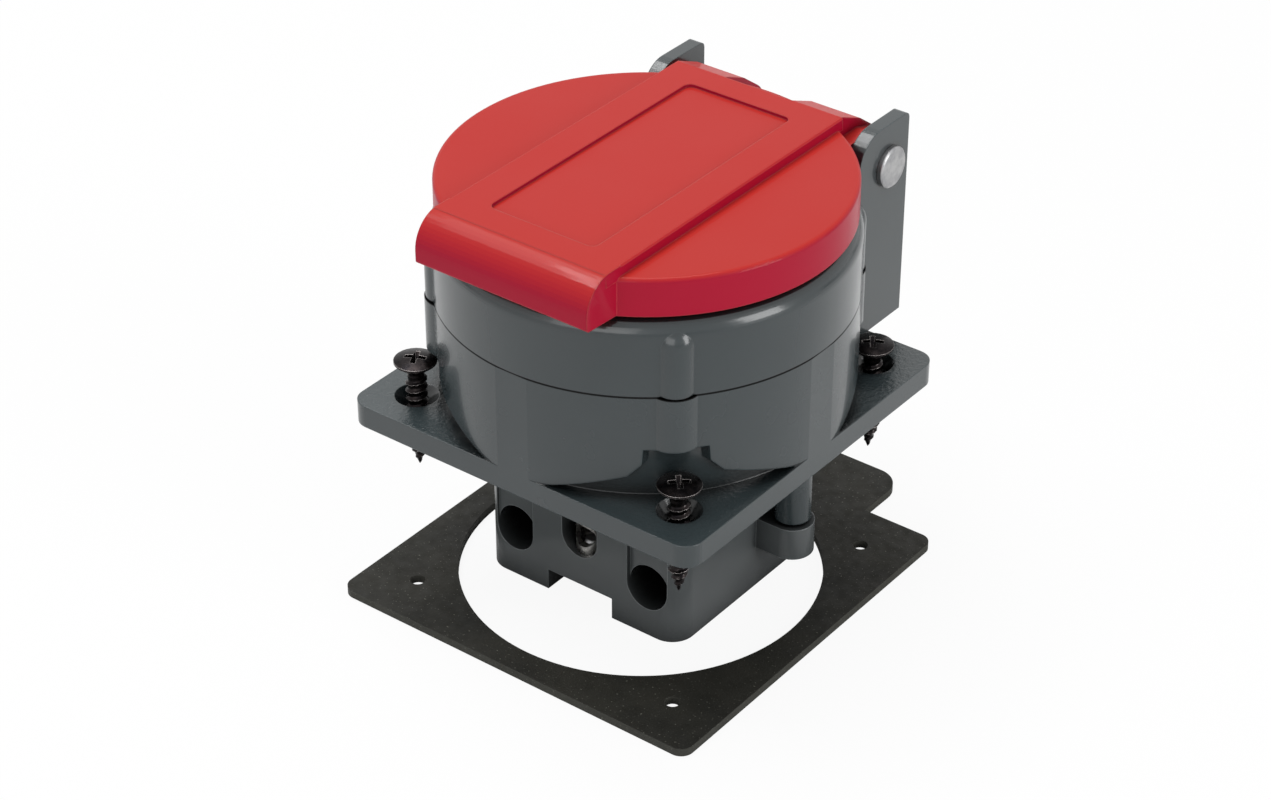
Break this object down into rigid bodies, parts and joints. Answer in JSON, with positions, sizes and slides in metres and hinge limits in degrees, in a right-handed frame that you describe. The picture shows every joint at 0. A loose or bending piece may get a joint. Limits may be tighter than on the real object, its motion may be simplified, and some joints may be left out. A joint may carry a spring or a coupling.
{
  "type": "panel mount power socket",
  "caption": "Round power socket on a square flange for panel mounting, with a hinged self-closing lid, a terminal block behind and a panel gasket.",
  "frame": {"origin": "centre of the square flange's underside, the face that lies on the panel", "axes": "+Z out of the panel towards the lid, +Y towards the hinge, X along the hinge pin"},
  "size_m": [0.0789, 0.0906, 0.0829],
  "materials": {
    "housing_plastic": "moulded, fine grain",
    "lid_plastic": "satin gloss",
    "block_plastic": "moulded",
    "insert_plastic": "moulded",
    "seal_rubber": "matt",
    "black_screws": "black oxide, slight sheen",
    "zinc_steel": "zinc plated",
    "contact_brass": "plain"
  },
  "bodies": {
    "socket": {"panel_housing": "housing_plastic", "hinge_ring": "housing_plastic", "ring_seal": "seal_rubber", "ring_screws": "zinc_steel", "hinge_pin": "zinc_steel", "pin_clip": "zinc_steel", "lid_spring": "zinc_steel", "contact_insert": "insert_plastic", "insert_cover": "insert_plastic", "insert_screw": "zinc_steel", "contact_pe": "contact_brass", "contact_l1": "contact_brass", "contact_n": "contact_brass", "contact_l2": "contact_brass", "contact_l3": "contact_brass", "contact_springs": "zinc_steel", "terminal_block": "block_plastic", "terminal_screws": "zinc_steel", "block_screws": "zinc_steel", "flange_screws": "black_screws", "panel_gasket": "seal_rubber"},
    "lid": {"lid": "lid_plastic", "lid_seal": "seal_rubber"}
  },
  "joints": [
    {"name": "lid_hinge", "type": "hinge", "parent": "socket", "child": "lid", "pos_m": [0, 0.0395, 0.0383], "axis": [-1, 0, 0], "range_deg": [0, 112], "stiffness_Nm_per_rad": 0.03, "springref_deg": -57.3, "deforming": ["lid_spring"]}
  ]
}
